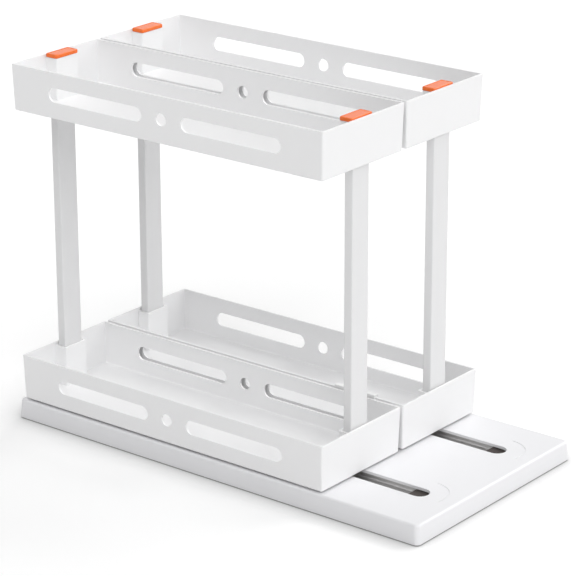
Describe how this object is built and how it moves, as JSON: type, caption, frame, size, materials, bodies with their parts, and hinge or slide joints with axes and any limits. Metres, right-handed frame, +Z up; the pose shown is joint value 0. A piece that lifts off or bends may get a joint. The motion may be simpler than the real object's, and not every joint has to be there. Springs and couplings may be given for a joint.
{
  "type": "under sink organizer",
  "caption": "Low base with two parallel tracks, each carrying a sliding two-tier carriage of open trays on flat posts, with press-in locks that hold the upper trays.",
  "frame": {"origin": "centre of the overall plan box, on the surface the feet stand on", "axes": "+X along the trays towards the open front of the base, +Y across to the right carriage, +Z up"},
  "size_m": [0.497, 0.253, 0.3715],
  "materials": {
    "base_plastic": "fine satin, injection moulded",
    "cover_plastic": "matte, injection moulded",
    "tray_plastic": "fine satin, injection moulded",
    "post_plastic": "smooth satin, extruded",
    "clip_plastic": "smooth satin",
    "lock_plastic": "smooth, softly glossy",
    "glide_plastic": "smooth, low friction",
    "rail_steel": "lengthwise brushed",
    "screw_steel": "zinc plated",
    "foot_rubber": "matte",
    "buffer_rubber": "matte"
  },
  "bodies": {
    "base": {"base_deck": "base_plastic", "base_cover": "cover_plastic", "cover_screws": "screw_steel", "base_feet": "foot_rubber", "left_rail": "rail_steel", "right_rail": "rail_steel", "rail_screws": "screw_steel", "left_rear_buffer": "buffer_rubber", "left_front_buffer": "buffer_rubber", "right_rear_buffer": "buffer_rubber", "right_front_buffer": "buffer_rubber"},
    "left_carriage": {"left_lower_tray": "tray_plastic", "left_upper_tray": "tray_plastic", "left_rear_post": "post_plastic", "left_front_post": "post_plastic", "left_rear_glide": "glide_plastic", "left_front_glide": "glide_plastic", "left_glide_screws": "screw_steel"},
    "right_carriage": {"right_lower_tray": "tray_plastic", "right_upper_tray": "tray_plastic", "right_rear_post": "post_plastic", "right_front_post": "post_plastic", "right_rear_glide": "glide_plastic", "right_front_glide": "glide_plastic", "right_glide_screws": "screw_steel", "rim_clip": "clip_plastic"},
    "left_rear_lock": {"left_rear_lock": "lock_plastic"},
    "left_front_lock": {"left_front_lock": "lock_plastic"},
    "right_rear_lock": {"right_rear_lock": "lock_plastic"},
    "right_front_lock": {"right_front_lock": "lock_plastic"}
  },
  "joints": [
    {"name": "left_slide", "type": "slide", "parent": "base", "child": "left_carriage", "axis": [1, 0, 0], "range_m": [0, 0.2]},
    {"name": "right_slide", "type": "slide", "parent": "base", "child": "right_carriage", "axis": [1, 0, 0], "range_m": [0, 0.2]},
    {"name": "left_rear_lift", "type": "slide", "parent": "left_carriage", "child": "left_rear_lock", "axis": [0, 0, 1], "range_m": [0, 0.012]},
    {"name": "left_front_lift", "type": "slide", "parent": "left_carriage", "child": "left_front_lock", "axis": [0, 0, 1], "range_m": [0, 0.012]},
    {"name": "right_rear_lift", "type": "slide", "parent": "right_carriage", "child": "right_rear_lock", "axis": [0, 0, 1], "range_m": [0, 0.012]},
    {"name": "right_front_lift", "type": "slide", "parent": "right_carriage", "child": "right_front_lock", "axis": [0, 0, 1], "range_m": [0, 0.012]}
  ]
}
